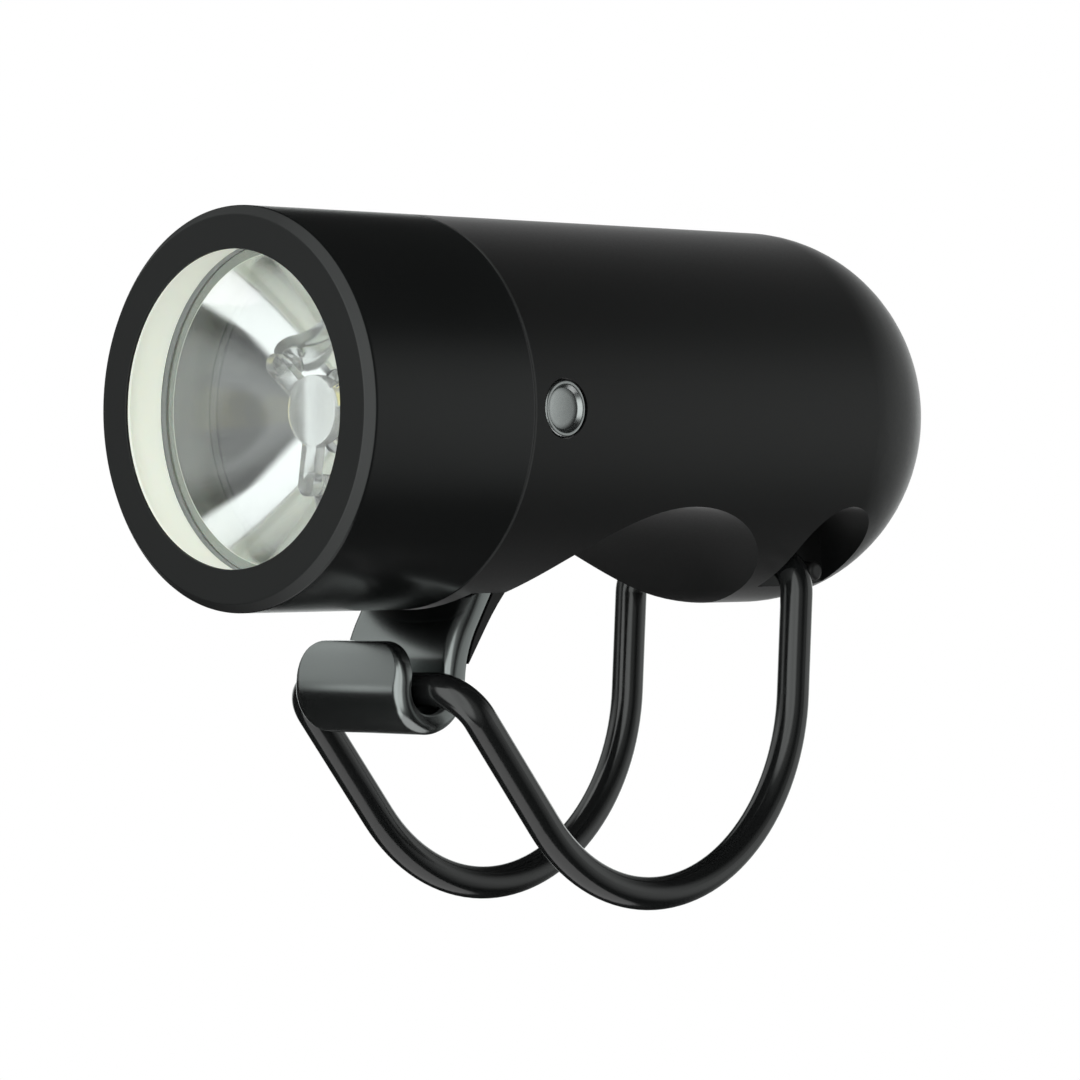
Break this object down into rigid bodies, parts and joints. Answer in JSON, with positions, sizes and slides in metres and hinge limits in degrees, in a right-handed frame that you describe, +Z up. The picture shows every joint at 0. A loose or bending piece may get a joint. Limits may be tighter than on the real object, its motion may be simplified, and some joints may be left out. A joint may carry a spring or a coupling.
{
  "type": "bicycle headlight",
  "caption": "Cylindrical bicycle headlight with a domed tail, a side push button, a handlebar seat and a round rubber strap that hooks into a J bracket.",
  "frame": {"origin": "centre of the handlebar that the light straps to, at the centre of its seat's curve", "axes": "-Y is the way the light shines, +Y points to the domed tail, +Z is up, +X is the side with the mode button"},
  "size_m": [0.032, 0.074, 0.057],
  "materials": {
    "head_black": "satin black anodised",
    "body_black": "fine matt moulded black",
    "glow_cream": "cream, slightly translucent",
    "window_clear": "clear polished",
    "lens_clear": "clear polished",
    "reflector_mirror": "metallised bowl",
    "seal_rubber": "black silicone",
    "seal_clear": "milky translucent silicone",
    "led_ceramic": "white ceramic",
    "led_yellow": "yellow phosphor",
    "board_white": "white solder mask",
    "board_green": "green solder mask",
    "component_black": "black moulded",
    "screw_steel": "plain steel",
    "pin_steel": "blackened steel",
    "sink_aluminium": "turned",
    "button_steel": "satin stainless with a polished edge",
    "nickel": "nickel strip",
    "cell_wrap": "shrink wrap",
    "pad_foam": "closed cell foam",
    "cradle_plastic": "moulded dark grey",
    "socket_steel": "drawn steel",
    "lead_red": "red insulation",
    "strap_rubber": "semi-gloss black silicone",
    "hook_grey": "grey satin anodised",
    "cover_rubber": "matt black silicone"
  },
  "bodies": {
    "housing": {"head_bezel": "head_black", "glow_ring": "glow_cream", "front_window": "window_clear", "window_seal": "seal_clear", "reflector": "reflector_mirror", "optic_retainer": "head_black", "collimator_lens": "lens_clear", "led_emitter": "led_ceramic", "led_phosphor": "led_yellow", "led_board": "board_white", "led_board_screws": "screw_steel", "led_leads": "lead_red", "heat_sink": "sink_aluminium", "head_seal": "seal_rubber", "driver_board": "board_green", "driver_components": "component_black", "driver_screws": "screw_steel", "tact_switch": "component_black", "switch_board": "board_green", "battery_cell": "cell_wrap", "battery_tabs": "nickel", "battery_pads": "pad_foam", "battery_cradle": "cradle_plastic", "carrier_pin": "pin_steel", "usb_board": "board_green", "usb_socket": "socket_steel", "power_leads": "lead_red", "hook_bracket": "hook_grey", "hook_pin": "pin_steel", "body_shell": "body_black"},
    "button": {"mode_button": "button_steel", "button_seal": "seal_rubber", "switch_plunger": "component_black"},
    "strap_loop": {"strap": "strap_rubber"},
    "cover": {"port_cover": "cover_rubber"}
  },
  "joints": [
    {"name": "button_press", "type": "slide", "parent": "housing", "child": "button", "axis": [-1, 0, 0], "range_m": [0, 0.0004], "stiffness_N_per_m": 1000},
    {"name": "strap_swing", "type": "hinge", "parent": "housing", "child": "strap_loop", "pos_m": [0, 0.0172, 0.0126], "axis": [1, 0, 0], "range_deg": [0, 60], "deforming": ["strap"]},
    {"name": "cover_flip", "type": "hinge", "parent": "housing", "child": "cover", "pos_m": [0, 0.0349, 0.0211], "axis": [-1, 0, 0], "range_deg": [0, 100]}
  ]
}
